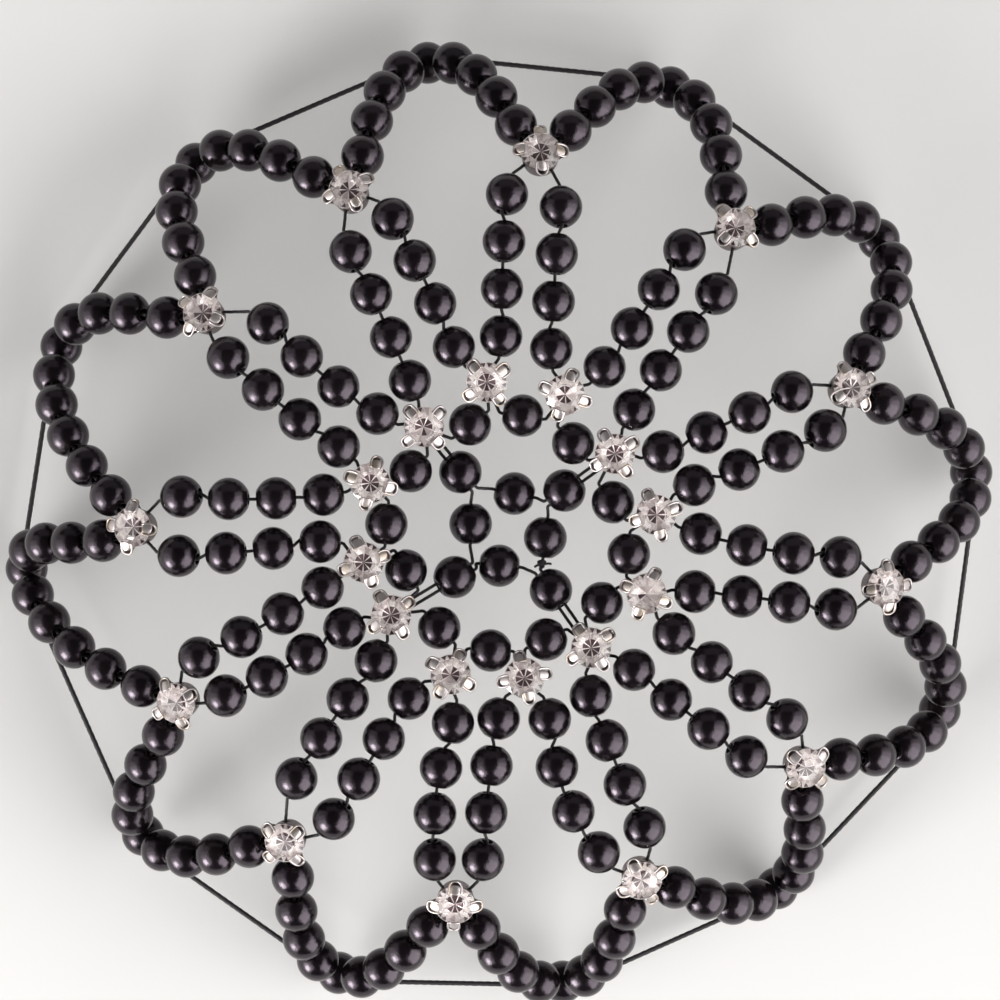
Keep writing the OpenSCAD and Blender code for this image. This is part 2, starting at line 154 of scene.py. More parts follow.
def addNode(tree, kind, **values):
    node = tree.nodes.new(kind)
    for key, value in values.items():
        if hasattr(node, key):
            setattr(node, key, value)
        else:
            node.inputs[key.replace("_", " ")].default_value = value
    return node


def addNoise(tree, scale, detail=3, roughness=0.5):
    place = addNode(tree, "ShaderNodeTexCoord")
    noise = addNode(tree, "ShaderNodeTexNoise", Scale=scale, Detail=detail, Roughness=roughness)
    tree.links.new(place.outputs["Object"], noise.inputs["Vector"])
    return noise


def addRange(tree, source, low, high, fromLow=0.3, fromHigh=0.7):
    node = addNode(tree, "ShaderNodeMapRange")
    node.inputs["From Min"].default_value = fromLow
    node.inputs["From Max"].default_value = fromHigh
    node.inputs["To Min"].default_value = low
    node.inputs["To Max"].default_value = high
    tree.links.new(source, node.inputs["Value"])
    return node.outputs["Result"]


# sockets 6 and 7 take the two colours, and 2 gives the mixed one
def addMix(tree, factor, first, second):
    node = addNode(tree, "ShaderNodeMix", data_type="RGBA")
    node.inputs[6].default_value = (*first, 1)
    node.inputs[7].default_value = (*second, 1)
    tree.links.new(factor, node.inputs["Factor"])
    return node.outputs[2]


def addBump(tree, shader, height, distance, strength):
    node = addNode(tree, "ShaderNodeBump", Strength=strength, Distance=distance)
    tree.links.new(height, node.inputs["Height"])
    tree.links.new(node.outputs["Normal"], shader.inputs["Normal"])


# pearl-coated black bead: a soft, faintly mottled gloss with a violet cast
pearlLook = {
    "dark": (0.0022, 0.0014, 0.0019),
    "light": (0.0044, 0.0031, 0.0037),
    "index": 1.5,
    "gloss": (0.13, 0.23),
    "mottle": 3000,
    "mottleHeight": 0.00003,
    "tint": (0.88, 0.745, 0.885, 1),
}


def pearlMaterial(look):
    material, tree, shader = newMaterial("pearlBlack", Specular_Tint=look["tint"], IOR=look["index"])
    tone = addNode(tree, "ShaderNodeAttribute", attribute_name="beadTone")
    mottle = addNoise(tree, look["mottle"], detail=5, roughness=0.6)
    colour = addMix(tree, tone.outputs["Fac"], look["dark"], look["light"])
    tree.links.new(colour, shader.inputs["Base Color"])
    tree.links.new(addRange(tree, mottle.outputs["Fac"], *look["gloss"]), shader.inputs["Roughness"])
    addBump(tree, shader, mottle.outputs["Fac"], look["mottleHeight"], strength=0.8)
    return material


# foil-backed glass stone; the foil is a little milky. Painted shade: on some facets the foil is painted
# dimmer, and on the arms of its star painted dark, where a real stone shows darker reflections
stoneLook = {
    "glass": (1.0, 0.985, 0.975, 1),
    "index": 1.56,
    # soft and shade are painted shade: the foil painted dimmer, and painted dark
    "foil": (0.95, 0.88, 0.86, 1),
    "soft": (0.62, 0.54, 0.535, 1),
    "shade": (0.10, 0.066, 0.074, 1),
    "metal": 0.22,
    "mirror": 0.5,
    "shadeMirror": 0.1,
    "wrinkles": 1800,
    "foilGloss": (0.16, 0.34),
    "haze": 900,
    "glassGloss": (0.0, 0.03),
}


def foilMaterial(name, colour, mirror, look):
    material, tree, shader = newMaterial(
        name, Base_Color=colour, Metallic=look["metal"], Specular_IOR_Level=mirror,
    )
    wrinkles = addNoise(tree, look["wrinkles"])
    tree.links.new(addRange(tree, wrinkles.outputs["Fac"], *look["foilGloss"]), shader.inputs["Roughness"])
    return material


def stoneMaterials(look):
    glass, tree, shader = newMaterial(
        "crystalGlass", Base_Color=look["glass"], IOR=look["index"], Transmission_Weight=1.0,
    )
    haze = addNoise(tree, look["haze"], detail=2)
    tree.links.new(addRange(tree, haze.outputs["Fac"], *look["glassGloss"]), shader.inputs["Roughness"])
    foil = foilMaterial("crystalFoil", look["foil"], look["mirror"], look)
    # painted shade: a dimmer and a dark copy of the foil
    foilPaintedDim = foilMaterial("crystalFoilPaintedDim", look["soft"], look["mirror"], look)
    foilPaintedShade = foilMaterial("crystalFoilPaintedShade", look["shade"], look["shadeMirror"], look)
    return glass, foil, foilPaintedShade, foilPaintedDim


# silver plate, a little warm where it has rubbed
silverLook = {
    "bright": (0.45, 0.414, 0.41),
    "warm": (0.40, 0.335, 0.27),
    "tarnishShadeTone": (0.18, 0.155, 0.15),  # the cup and the claws' legs: tarnish, and painted shade where they lie under the stone and pads
    "patches": 700,
    "patchEdge": (0.48, 0.66),  # noise values where the warm tone starts and where it is full
    "warmest": 0.8,
    "scuffs": 4200,
    "gloss": (0.32, 0.50),
    "dents": 0.00003,
}


def silverMaterial(name, bright, warmTone, look):
    material, tree, shader = newMaterial(name, Metallic=1.0)
    patches = addNoise(tree, look["patches"], detail=2)
    scuffs = addNoise(tree, look["scuffs"], detail=4, roughness=0.65)
    warm = addRange(tree, patches.outputs["Fac"], 0.0, look["warmest"], *look["patchEdge"])
    tree.links.new(addMix(tree, warm, bright, warmTone), shader.inputs["Base Color"])
    tree.links.new(addRange(tree, scuffs.outputs["Fac"], *look["gloss"]), shader.inputs["Roughness"])
    addBump(tree, shader, scuffs.outputs["Fac"], look["dents"], strength=0.6)
    return material


# black thread, a little fuzzy; the elastic is covered with the same
threadLook = {
    "dark": (0.006, 0.005, 0.006),
    "light": (0.022, 0.019, 0.021),
    "fibres": 5200,
    "fibreHeight": 0.00003,
    "gloss": (0.42, 0.7),
    "sheen": 0.25,
    "sheenGloss": 0.4,
    "mirror": 0.3,
}


def threadMaterial(name, look):
    material, tree, shader = newMaterial(
        name, Sheen_Weight=look["sheen"], Sheen_Roughness=look["sheenGloss"],
        Specular_IOR_Level=look["mirror"],
    )
    fibres = addNoise(tree, look["fibres"], detail=4, roughness=0.7)
    colour = addMix(tree, fibres.outputs["Fac"], look["dark"], look["light"])
    tree.links.new(colour, shader.inputs["Base Color"])
    tree.links.new(addRange(tree, fibres.outputs["Fac"], *look["gloss"]), shader.inputs["Roughness"])
    addBump(tree, shader, fibres.outputs["Fac"], look["fibreHeight"], strength=0.6)
    return material


pearl = pearlMaterial(pearlLook)
glass, foil, foilPaintedShade, foilPaintedDim = stoneMaterials(stoneLook)
silver = silverMaterial("silverPlate", silverLook["bright"], silverLook["warm"], silverLook)
# tarnish and painted shade: one darker silver for the cup and the claws' legs
tarnishAndShade = silverMaterial("silverTarnishAndShade", silverLook["tarnishShadeTone"], silverLook["tarnishShadeTone"], silverLook)
thread = threadMaterial("blackThread", threadLook)
elasticCover = threadMaterial("elasticCover", threadLook)
print("materials ready")


# the loose solids of a CAD node, each as its corners in metres and its triangles
def looseSolids(node):
    work = bmesh.new()
    work.from_mesh(cadNodes[node].data)
    bmesh.ops.remove_doubles(work, verts=work.verts, dist=weldDistance)
    work.verts.index_update()
    work.faces.index_update()
    solids = []
    seen = set()
    for start in work.verts:
        if start.index in seen:
            continue
        seen.add(start.index)
        group = [start]
        for vert in group:
            for edge in vert.link_edges:
                other = edge.other_vert(vert)
                if other.index not in seen:
                    seen.add(other.index)
                    group.append(other)
        number = {vert.index: i for i, vert in enumerate(group)}
        faces = sorted({face for vert in group for face in vert.link_faces}, key=lambda face: face.index)
        corners = np.array([vert.co for vert in group], float)
        triangles = [[number[vert.index] for vert in face.verts] for face in faces if len(face.verts) == 3]
        solids.append((corners, np.array(triangles)))
    work.free()
    return solids


# a drilled bead's centre, radius, the way its bore runs and the bore's radius; the triangles of
# the bore are those that face the centre
def readBead(corners, triangles):
    rows = np.hstack([2 * corners, np.ones((len(corners), 1))])
    fit = np.linalg.lstsq(rows, (corners ** 2).sum(1), rcond=None)[0]
    centre = fit[:3]
    radius = math.sqrt(fit[3] + centre @ centre)
    a, b, c = (corners[triangles[:, i]] for i in range(3))
    normals = np.cross(b - a, c - a)
    outward = (a + b + c) / 3 - centre
    bore = normals[(normals * outward).sum(1) < 0]
    axis = np.linalg.eigh(bore.T @ bore)[1][:, 0]
    fromAxis = np.linalg.norm(np.cross(corners - centre, axis), axis=1)
    return Vector(centre), radius, Vector(axis), fromAxis.min()


def standOn(axis, turn=0.0):
    return axis.to_track_quat("Z", "Y").to_matrix() @ Matrix.Rotation(turn, 3, "Z")


# the faces of a closed row of rings, all with the same number of corners
def closedRows(rows, count):
    faces = []
    for i in range(rows):
        after = (i + 1) % rows
        for j in range(count):
            n = (j + 1) % count
            faces.append((i * count + j, after * count + j, after * count + n, i * count + n))
    return faces


# a smooth path through the points, in steps of about the given length: a centripetal spline
def smoothPath(points, step, closed=False, shortest=1e-7):
    points = [np.array(p, float) for p in points]
    count = len(points)
    if closed:
        ends = [points[-1]] + points + points[:2]
    else:
        ends = [2 * points[0] - points[1]] + points + [2 * points[-1] - points[-2]]
    made = []
    for i in range(count if closed else count - 1):
        p0, p1, p2, p3 = ends[i:i + 4]
        d0, d1, d2 = (math.sqrt(max(np.linalg.norm(way), shortest)) for way in (p1 - p0, p2 - p1, p3 - p2))
        m1 = ((p1 - p0) / d0 - (p2 - p0) / (d0 + d1) + (p2 - p1) / d1) * d1
        m2 = ((p2 - p1) / d1 - (p3 - p1) / (d1 + d2) + (p3 - p2) / d2) * d1
        square = 3 * (p2 - p1) - 2 * m1 - m2
        cube = 2 * (p1 - p2) + m1 + m2
        steps = max(1, round(np.linalg.norm(p2 - p1) / step))
        for s in range(steps):
            t = s / steps
            made.append(p1 + t * m1 + t ** 2 * square + t ** 3 * cube)
    if not closed:
        made.append(points[-1])
    return made


def addTube(heap, points, radius, sides=8):
    count = len(points)
    corners = []
    up = (points[1] - points[0]).orthogonal()
    for i, p in enumerate(points):
        along = (points[min(i + 1, count - 1)] - points[max(i - 1, 0)]).normalized()
        up = (up - along * up.dot(along)).normalized()
        side = along.cross(up)
        for j in range(sides):
            a = 2 * math.pi * j / sides
            corners.append(p + radius * (math.cos(a) * up + math.sin(a) * side))
    faces = closedRows(count, sides)[:(count - 1) * sides]
    faces.append(tuple(range(sides)))
    faces.append(tuple((count - 1) * sides + j for j in range(sides)))
    heap.add(corners, faces)


def fixNormals(made, merge=False):
    work = bmesh.new()
    work.from_mesh(made.data)
    if merge:
        bmesh.ops.remove_doubles(work, verts=work.verts, dist=weldDistance)
    bmesh.ops.recalc_face_normals(work, faces=work.faces)
    work.to_mesh(made.data)
    work.free()


# meshes are gathered as corners, each with a tone, and faces, each with a material number
class Heap:
    def __init__(self):
        self.corners = []
        self.faces = []
        self.marks = []
        self.tones = []

    def add(self, corners, faces, mark=0, tone=0.5):
        first = len(self.corners)
        self.corners.extend(corners)
        self.faces.extend([[first + i for i in face] for face in faces])
        self.marks.extend([mark] * len(faces))
        self.tones.extend([tone] * len(corners))

    def piece(self, name, materials, smooth=True):
        mesh = bpy.data.meshes.new(name)
        mesh.from_pydata([tuple(c) for c in self.corners], [], self.faces)
        for material in materials:
            mesh.materials.append(material)
        mesh.polygons.foreach_set("material_index", self.marks)
        mesh.polygons.foreach_set("use_smooth", [smooth] * len(self.faces))
        tone = mesh.attributes.new("beadTone", "FLOAT", "POINT")
        tone.data.foreach_set("value", self.tones)
        mesh.validate()
        made = bpy.data.objects.new(name, mesh)
        bpy.context.scene.collection.objects.link(made)
        return made


# beads, each turned round its own bore in the place of its CAD solid
beadLook = {
    "around": 36,
    "along": 20,
    "lip": 0.00011,  # roundness of the bore's mouth
    "lipCorners": ((0, 1), (0.12, 0.45), (0.45, 0.12)),  # shares of it out from the bore and down into it
    "ridge": 0.00003,  # lacquer gathered round the mouth
    "ridgeWidth": 0.12,
    "ridgePeak": 1.2,  # in widths of the ridge from the mouth
    "ridgeFall": 2,
    "smallest": 0.985,  # shares of a bead's width and length
    "shortest": 0.975,
}


def beadProfile(radius, boreRadius, look):
    edge = math.asin((boreRadius + look["lip"]) / radius)
    rows = []
    for i in range(look["along"] + 1):
        t = edge + (math.pi - 2 * edge) * i / look["along"]
        fromMouth = min(t - edge, math.pi - edge - t) / look["ridgeWidth"]
        ridge = math.exp(-((fromMouth - look["ridgePeak"]) ** 2) * look["ridgeFall"])
        r = radius + look["ridge"] * ridge - look["ridge"]
        rows.append((r * math.sin(t), r * math.cos(t)))
    mouth = rows[0][1]
    lip = look["lip"]
    turnIn = [(boreRadius + lip * out, mouth - lip * down) for out, down in look["lipCorners"]]
    turnOut = [(r, -z) for r, z in reversed(turnIn)]
    return turnIn + rows + turnOut


def addBead(heap, centre, radius, axis, boreRadius, look, rng):
    profile = beadProfile(radius, boreRadius, look)
    across = rng.uniform(look["smallest"], 1)
    along = rng.uniform(look["shortest"], 1) * across
    stand = standOn(axis, rng.uniform(0, 2 * math.pi))
    count = look["around"]
    corners = []
    for r, z in profile:
        for j in range(count):
            a = 2 * math.pi * j / count
            local = Vector((r * math.cos(a) * across, r * math.sin(a) * across, z * along))
            corners.append(centre + stand @ local)
    heap.add(corners, closedRows(len(profile), count), 0, rng.random())


def standFor(made, node):
    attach(made, "root")
    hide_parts(node)


def beadString(node, name, look, rng):
    heap = Heap()
    beads = [readBead(*solid) for solid in looseSolids(node)]
    for bead in beads:
        addBead(heap, *bead, look, rng)
    standFor(heap.piece(name, [pearl]), node)
    return beads


rng = random.Random(seed)
beadsOf = {}
for k in range(1, petals + 1):
    beadsOf[f"petal_beads_{k}"] = beadString(f"petal_beads_{k}", f"petalBeads_{k}", beadLook, rng)
beadsOf["ring_beads"] = beadString("ring_beads", "ringBeads", beadLook, rng)
beadsOf["centre_beads"] = beadString("centre_beads", "centreBeads", beadLook, rng)
print("beads made:", sum(len(beads) for beads in beadsOf.values()))


# places of the stones, read from their CAD solids; a place is an origin on the threads' plane
# and three axes
seatSetup = {
    "culetHeight": 0.00035,  # of a CAD stone's lowest point over the threads' plane
    "clawReach": (0.00230, 0.00276),  # this far from the axis there are only claws
}


def readStone(node):
    corners = looseSolids(node)[0][0]
    middle = corners.mean(0)
    axis = Vector(np.linalg.eigh(np.cov((corners - middle).T))[1][:, 0])
    if axis.z < 0:
        axis.negate()
    heights = corners @ np.array(axis)
    culet = Vector(corners[heights.argmin()])
    return culet - axis * seatSetup["culetHeight"], axis


# the claws' turn round the axis, a mean in which all claws count as one
def clawAngle(origin, axis, corners):
    stand = standOn(axis)
    local = (corners - np.array(origin)) @ np.array(stand)
    fromAxis = np.hypot(local[:, 0], local[:, 1])
    low, high = seatSetup["clawReach"]
    onClaws = local[(fromAxis > low) & (fromAxis < high)]
    turned = np.exp(1j * claws * np.arctan2(onClaws[:, 1], onClaws[:, 0])).mean()
    return np.angle(turned) / claws


def readSeats(kind):
    settings = [solid[0] for solid in looseSolids(f"{kind}_settings")]
    seats = []
    for k in range(1, petals + 1):
        origin, axis = readStone(f"{kind}_crystal_{k}")
        nearest = min(settings, key=lambda c: np.linalg.norm(c.mean(0) - np.array(origin)))
        seats.append({"origin": origin, "stand": standOn(axis, clawAngle(origin, axis, nearest))})
    return seats


def seatWorld(seat, x, y, z):
    return seat["origin"] + seat["stand"] @ Vector((x, y, z))


def seatPolar(seat, r, degrees, z):
    a = math.radians(degrees)
    return seatWorld(seat, r * math.cos(a), r * math.sin(a), z)


# threads: each runs through its beads and the cups between them, and closes on itself
threadSetup = {
    "radius": 0.00016,
    "elasticRadius": 0.00024,
    "wideBore": 0.0006,  # a bore of this radius or more carries two threads
    "nextBead": 0.0053,  # the next bead on a string is no further than this
    "ahead": 0.3,  # the least cosine of its bend there
    "inset": -0.00015,  # where a thread leaves a bore straight towards the next bead
    "stub": 0.00012,  # where it turns off to a cup
    "cupPass": 0.00040,  # from a cup's middle
    "spokeDrop": 0.00062,  # how deep the centre thread turns back in a cup
    "spokeAside": 0.00031,  # from the middle of the bore, to either side
    "tipAside": 0.00036,  # from the middle of a tip bead's bore, into its loop
    "elasticAside": 0.00030,  # the other way
    "tipClear": 0.00022,  # round a tip bead's side
    "tipMouth": 0.00006,  # out from its bore
    "tipTurn": (0.3, 0.65),  # shares of the turn from a neighbour to the mouth
    "tipInside": 0.8,  # of the bead's radius, where the thread is inside its bore
    "plies": 3,
    "plyDepth": 0.2,
    "twistLength": 0.0010,
    "stretch": 0.0006,  # a longer run between two stops is pulled straight
    "pulledAt": (0.12, 0.88),  # shares of such a run
    "elasticPulledAt": (0.06, 0.5, 0.94),
    "step": 0.00020,
    "sides": 12,
}
laidThreads = []


def facing(axis, way):
    return axis if axis.dot(way) > 0 else -axis


def turnOf(place):
    return math.atan2(place.y, place.x)


def nearestBead(beads, place):
    return min(beads, key=lambda bead: (bead[0] - place).length)


def nearestSeat(seats, place):
    return min(seats, key=lambda seat: (seat["origin"] - place).length)


# a petal's cups and beads in the order of its thread, each bead with the way that the thread runs in it
def walkPetal(beads, start, outer):
    left = list(beads)
    place = start["origin"]
    bead = nearestBead(left, place)
    stops = [start]
    while True:
        way = facing(bead[2], bead[0] - place)
        stops.append((bead, way))
        left = [other for other in left if other is not bead]
        if not left:
            return stops
        place = bead[0]
        ahead = [
            other for other in left
            if (other[0] - place).length < threadSetup["nextBead"]
            and (other[0] - place).normalized().dot(way) > threadSetup["ahead"]
        ]
        if not ahead:
            stops.append(nearestSeat(outer, place))
            place = stops[-1]["origin"]
        tip = [other for other in ahead if other[3] > threadSetup["wideBore"]]
        bead = nearestBead(tip or ahead or left, place)


def walkRing(beads, seats):
    order = sorted(seats, key=lambda seat: turnOf(seat["origin"]))
    stops = []
    for i, seat in enumerate(order):
        here = seat["origin"]
        following = order[(i + 1) % len(order)]["origin"]
        bead = min(beads, key=lambda b: (b[0] - here).length + (b[0] - following).length)
        stops += [seat, (bead, facing(bead[2], following - here))]
    return stops


# a stop is a seat, or a bead and its way
def isSeat(stop):
    return isinstance(stop, dict)


def placeOf(stop):
    return stop["origin"] if isSeat(stop) else stop[0][0]


def throughBead(bead, way, before, after, aside):
    middle = bead[0] + aside
    return [middle - way * (bead[1] + before), middle, middle + way * (bead[1] + after)]


# joins the runs of points of a closed route by straight stretches
def pulledStraight(runs, shares):
    points = []
    for i, run in enumerate(runs):
        points += run
        stretch = runs[(i + 1) % len(runs)][0] - run[-1]
        if stretch.length > threadSetup["stretch"]:
            points += [run[-1] + stretch * share for share in shares]
    return points


# the side of a tip bead that faces into its loop
def insideOf(bead, before, after):
    inside = (before + after) / 2 - bead[0]
    return (inside - bead[2] * inside.dot(bead[2])).normalized()


# close round the side of a tip bead, from its neighbour to the mouth of its bore
def roundTip(bead, neighbour, way, aside):
    centre, radius = bead[:2]
    clear = radius + threadSetup["tipClear"]
    mouth = way * (radius + threadSetup["tipMouth"]) + aside
    start = (neighbour - centre).normalized()
    turn = [start.slerp(mouth.normalized(), share) * clear for share in threadSetup["tipTurn"]]
    inside = way * radius * threadSetup["tipInside"] + aside
    return [centre + place for place in turn + [mouth, inside]]


def routeOf(stops):
    runs = []
    for i, stop in enumerate(stops):
        before, after = stops[i - 1], stops[(i + 1) % len(stops)]
        here = placeOf(stop)
        if isSeat(stop):
            lean = (placeOf(before) - here).normalized() + (placeOf(after) - here).normalized()
            runs.append([here + lean.normalized() * threadSetup["cupPass"]])
            continue
        bead, way = stop
        if bead[3] > threadSetup["wideBore"]:
            aside = insideOf(bead, placeOf(before), placeOf(after)) * threadSetup["tipAside"]
            coming = roundTip(bead, placeOf(before), -way, aside)
            going = roundTip(bead, placeOf(after), way, aside)
            runs.append(coming + going[::-1])
        else:
            ends = [threadSetup["stub" if isSeat(side) else "inset"] for side in (before, after)]
            runs.append(throughBead(bead, way, *ends, Vector()))
    return pulledStraight(runs, threadSetup["pulledAt"])


# round the four middle beads, with a way out to a cup and back through each spoke bead
def centreRoute(beads, seats):
    inner = [bead for bead in beads if bead[3] < threadSetup["wideBore"]]
    inner.sort(key=lambda bead: turnOf(bead[0]))
    spokes = [bead for bead in beads if bead[3] > threadSetup["wideBore"]]
    stub = threadSetup["stub"]
    up = Vector((0, 0, 1))
    runs = []
    for i, bead in enumerate(inner):
        following = inner[(i + 1) % len(inner)]
        spoke = nearestBead(spokes, (bead[0] + following[0]) / 2)
        seat = nearestSeat(seats, spoke[0])
        out = facing(spoke[2], seat["origin"] - spoke[0])
        aside = facing(out.cross(up).normalized(), bead[0] - spoke[0]) * threadSetup["spokeAside"]
        cup = seat["origin"] - seat["stand"].col[2] * threadSetup["spokeDrop"]
        along = facing(bead[2], following[0] - inner[i - 1][0])
        runs.append(throughBead(bead, along, stub, stub, Vector()))
        runs.append(throughBead(spoke, out, stub, 0, aside))
        runs.append([cup + aside, cup - aside])
        runs.append(throughBead(spoke, out, stub, 0, -aside)[::-1])
    return pulledStraight(runs, threadSetup["pulledAt"])


def elasticRoute(walks):
    tips = []
    for stops in walks:
        for i, stop in enumerate(stops):
            if not isSeat(stop) and stop[0][3] > threadSetup["wideBore"]:
                tips.append((stop[0], insideOf(stop[0], placeOf(stops[i - 1]), placeOf(stops[i + 1]))))
    tips.sort(key=lambda tip: turnOf(tip[0][0]))
    stub = threadSetup["stub"]
    runs = []
    for i, (bead, inside) in enumerate(tips):
        way = facing(bead[2], tips[(i + 1) % len(tips)][0][0] - tips[i - 1][0][0])
        runs.append(throughBead(bead, way, stub, stub, -inside * threadSetup["elasticAside"]))
    return pulledStraight(runs, threadSetup["elasticPulledAt"])


# a closed, laid thread: a lobe for each ply, turning as it goes. What its frame has turned by when
# the thread closes, the slip, is spread along it.
def addLaid(heap, route, radius, setup):
    points = [Vector(p) for p in smoothPath(route, setup["step"], True)]
    count = len(points)
    ways = [(points[(i + 1) % count] - points[i - 1]).normalized() for i in range(count)]
    along = [0.0]
    for i in range(count):
        along.append(along[-1] + (points[(i + 1) % count] - points[i]).length)
    sides = []
    side = ways[0].orthogonal()
    for way in ways + ways[:1]:
        side = (side - way * side.dot(way)).normalized()
        sides.append(side)
    slip = math.atan2(ways[0].cross(sides[0]).dot(sides[-1]), sides[0].dot(sides[-1]))
    turns = round(along[-1] / setup["twistLength"])
    corners = []
    for i, point in enumerate(points):
        share = along[i] / along[-1]
        u = sides[i]
        v = ways[i].cross(u)
        for j in range(setup["sides"]):
            a = 2 * math.pi * j / setup["sides"] - slip * share
            ply = a + slip * share + 2 * math.pi * turns * share
            lobe = abs(math.cos(setup["plies"] / 2 * ply))
            r = radius * (1 - setup["plyDepth"] + setup["plyDepth"] * lobe)
            corners.append(point + r * (math.cos(a) * u + math.sin(a) * v))
    heap.add(corners, closedRows(count, setup["sides"]))
    return np.array(points)


def makeThread(name, route, radius, material):
    heap = Heap()
    laidThreads.append(addLaid(heap, route, radius, threadSetup))
    made = heap.piece(name, [material])
    fixNormals(made)
    return made


# knot of the centre thread, a trefoil with two short ends, near the mouth of a middle bead
knotLook = {
    "near": (0.00259, -0.00285),  # x and y of its place
    "corners": 48,
    "size": 0.00011,
    "rise": 1.5,
    "radius": 0.00014,
    "endRadius": 0.000112,
    "endStep": 0.0001,
    "ends": [  # in millimetres from the knot's middle
        [(0, 0, 0.1), (0.3, -0.02, 0.25), (0.6, 0.02, 0.22), (0.86, -0.02, 0.12)],
        [(0, 0, 0.1), (-0.25, -0.1, 0.2), (-0.48, -0.18, 0.16), (-0.66, -0.3, 0.06)],
    ],
}


def addKnot(heap, place, look):
    loop = []
    for i in range(look["corners"]):
        t = 2 * math.pi * i / look["corners"]
        x = math.sin(t) + 2 * math.sin(2 * t)
        y = math.cos(t) - 2 * math.cos(2 * t)
        z = -look["rise"] * math.sin(3 * t)
        loop.append(place + look["size"] * Vector((x, y, z)))
    addLaid(heap, loop, look["radius"], threadSetup)
    for end in look["ends"]:
        route = smoothPath([place + Vector(p) * mm for p in end], look["endStep"])
        addTube(heap, [Vector(p) for p in route], look["endRadius"])


innerSeats = readSeats("inner")
outerSeats = readSeats("outer")

petalWalks = []
for k in range(petals):
    around = [outerSeats[k], outerSeats[(k + 1) % petals]]
    petalWalks.append(walkPetal(beadsOf[f"petal_beads_{k + 1}"], innerSeats[k], around))
for k, stops in enumerate(petalWalks, 1):
    made = makeThread(f"petalThread_{k}", routeOf(stops), threadSetup["radius"], thread)
    standFor(made, f"petal_thread_{k}")
ringStops = walkRing(beadsOf["ring_beads"], innerSeats)
made = makeThread("ringThread", routeOf(ringStops), threadSetup["radius"], thread)
standFor(made, "ring_thread")

heap = Heap()
route = centreRoute(beadsOf["centre_beads"], innerSeats)
laid = addLaid(heap, route, threadSetup["radius"], threadSetup)
laidThreads.append(laid)
fromKnot = np.hypot(*(laid[:, :2] - knotLook["near"]).T)
addKnot(heap, Vector(laid[fromKnot.argmin()]), knotLook)
made = heap.piece("centreThread", [thread])
fixNormals(made)
standFor(made, "centre_thread")

made = makeThread("tipElastic", elasticRoute(petalWalks), threadSetup["elasticRadius"], elasticCover)
standFor(made, "elastic")
print("threads laid")


# stone: a table and crown facets of glass over a foiled back. The back's facets carry painted shade: a dark
# star parted by light rays, and pairs of dark triangles near the edge midway between the claws, painted into
# the foil.
stoneShape = {
    "facets": 8,  # round the table
    "radius": 0.00186,
    "tableShare": 0.56,
    "tableHeight": 0.00165,
    "waistShare": 0.80,
    "waistHeight": 0.00143,
    "girdleHigh": 0.00115,
    "girdleLow": 0.00100,
    "backHeight": 0.00040,
    "backCurve": 1.25,
    "uneven": 0.00003,  # how far the back's corners may stand off its curve
    "evenShare": 0.01,  # but its middle and its rim stay on it
    "starShare": 0.44,
    "starDegrees": 17.5,  # half the width of one arm of the star
    "starGap": 0.1,
    "midShare": 0.70,
    "edgeShare": 0.93,
    "edgeIn": 0.05,
    "edgeMiddle": 10,  # from midway between two claws to the middle of a triangle, in degrees
    "edgeDegrees": 7.5,
    "paintedDimShare": 0.3,  # of the light facets, those whose foil is painted dimmer: painted shade
    "darkFacets": 16,  # eight arms of the star and eight edge triangles
    "darkShare": (0.62, 1.0),  # of these, those painted dark in one stone: painted shade
    "turn": 9,  # how far a stone may be turned in its cup, in degrees
    "sameSpot": 1e-5,  # corners of the flat back nearer than this are one
}
# soft and shade mark foil painted dimmer and painted dark: painted shade
stoneMarks = {"glass": 0, "foil": 1, "shade": 2, "soft": 3}  # the places of a stone's materials


def flatPolar(share, degrees):
    a = math.radians(degrees)
    return Vector((share * math.cos(a), share * math.sin(a)))


# a facet of the back, from a point to the two ends of an arc round a middle
def backFacet(point, share, middle, half):
    return [point, flatPolar(share, middle - half), flatPolar(share, middle + half)]


# the back laid flat in a circle of radius 1: its corners, its triangles, and for each triangle
# the dark facet that it is part of, if any
def backPattern(shape):
    step = 360 / shape["facets"]
    around = 2 * shape["facets"]
    girdle = [flatPolar(1, step / 2 * i) for i in range(around)]
    dark = []
    light = []
    for i in range(shape["facets"]):
        arm = step * i
        dark.append(backFacet(Vector((0, 0)), shape["starShare"], arm, shape["starDegrees"]))
        light.append(flatPolar(shape["midShare"], arm + step / 2))
        light.append(flatPolar(shape["starShare"] + shape["starGap"], arm))
        if i % 2:
            for side in (-1, 1):
                middle = arm + side * shape["edgeMiddle"]
                point = flatPolar(shape["midShare"] - shape["edgeIn"], middle)
                dark.append(backFacet(point, shape["edgeShare"], middle, shape["edgeDegrees"]))
    corners = girdle + light
    edges = [(i, (i + 1) % around) for i in range(around)]
    for triangle in dark:
        first = len(corners)
        corners += triangle
        edges += [(first, first + 1), (first + 1, first + 2), (first + 2, first)]
    laid = geometry.delaunay_2d_cdt(corners, edges, [], 0, shape["sameSpot"])
    corners, triangles = laid[0], laid[2]
    shades = []
    for face in triangles:
        middle = sum((corners[i] for i in face), Vector((0, 0))) / 3
        over = [i for i, facet in enumerate(dark) if geometry.intersect_point_tri_2d(middle, *facet)]
        shades.append(over[0] if over else None)
    return corners, triangles, shades


